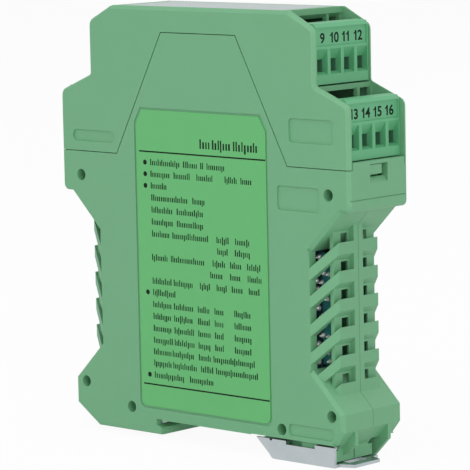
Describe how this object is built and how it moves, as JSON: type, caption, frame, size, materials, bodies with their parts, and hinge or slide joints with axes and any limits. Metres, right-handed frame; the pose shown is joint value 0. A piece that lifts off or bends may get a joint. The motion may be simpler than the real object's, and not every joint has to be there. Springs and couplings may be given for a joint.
{
  "type": "signal isolator",
  "caption": "Slim rail-mounted signal isolator: two-shell housing with louvred waist, stepped hood with screw terminals, sprung rail latch, circuit board inside.",
  "frame": {"origin": "centre of the bounding box at the sole of the rail latch", "axes": "+X across the rail towards the latch, +Y along the rail away from the label side, +Z away from the rail"},
  "size_m": [0.099, 0.0226, 0.112],
  "materials": {
    "housing": "satin moulded",
    "block": "satin moulded",
    "cover": "gloss",
    "label": "printed film",
    "board": "lacquered",
    "ferrite": "matt",
    "winding": "tape",
    "capacitor": "sleeved",
    "pale_case": "moulded",
    "dark_case": "moulded",
    "plated_steel": "zinc plated",
    "spring_steel": "bright",
    "bar_brass": "tinned"
  },
  "bodies": {
    "housing": {"base_shell_near": "housing", "base_shell_far": "housing", "terminal_hood": "housing", "front_cover": "cover", "rating_label": "label", "circuit_board": "board", "transformer_core": "ferrite", "transformer_winding": "winding", "capacitors": "capacitor", "optocouplers": "pale_case", "amplifier_chips": "dark_case", "rail_contact_strip": "plated_steel", "terminal_block_1_4": "block", "clamp_screws_1_4": "plated_steel", "cage_clamps_1_4": "plated_steel", "current_bars_1_4": "bar_brass", "terminal_block_5_8": "block", "clamp_screws_5_8": "plated_steel", "cage_clamps_5_8": "plated_steel", "current_bars_5_8": "bar_brass", "terminal_block_9_12": "block", "clamp_screws_9_12": "plated_steel", "cage_clamps_9_12": "plated_steel", "current_bars_9_12": "bar_brass", "terminal_block_13_16": "block", "clamp_screws_13_16": "plated_steel", "cage_clamps_13_16": "plated_steel", "current_bars_13_16": "bar_brass", "latch_spring": "spring_steel"},
    "latch": {"foot_latch": "plated_steel"}
  },
  "joints": [
    {"name": "latch_slide", "type": "slide", "parent": "housing", "child": "latch", "axis": [1, 0, 0], "range_m": [0, 0.004], "stiffness_N_per_m": 800, "springref_m": -0.004, "deforming": ["latch_spring"]}
  ]
}
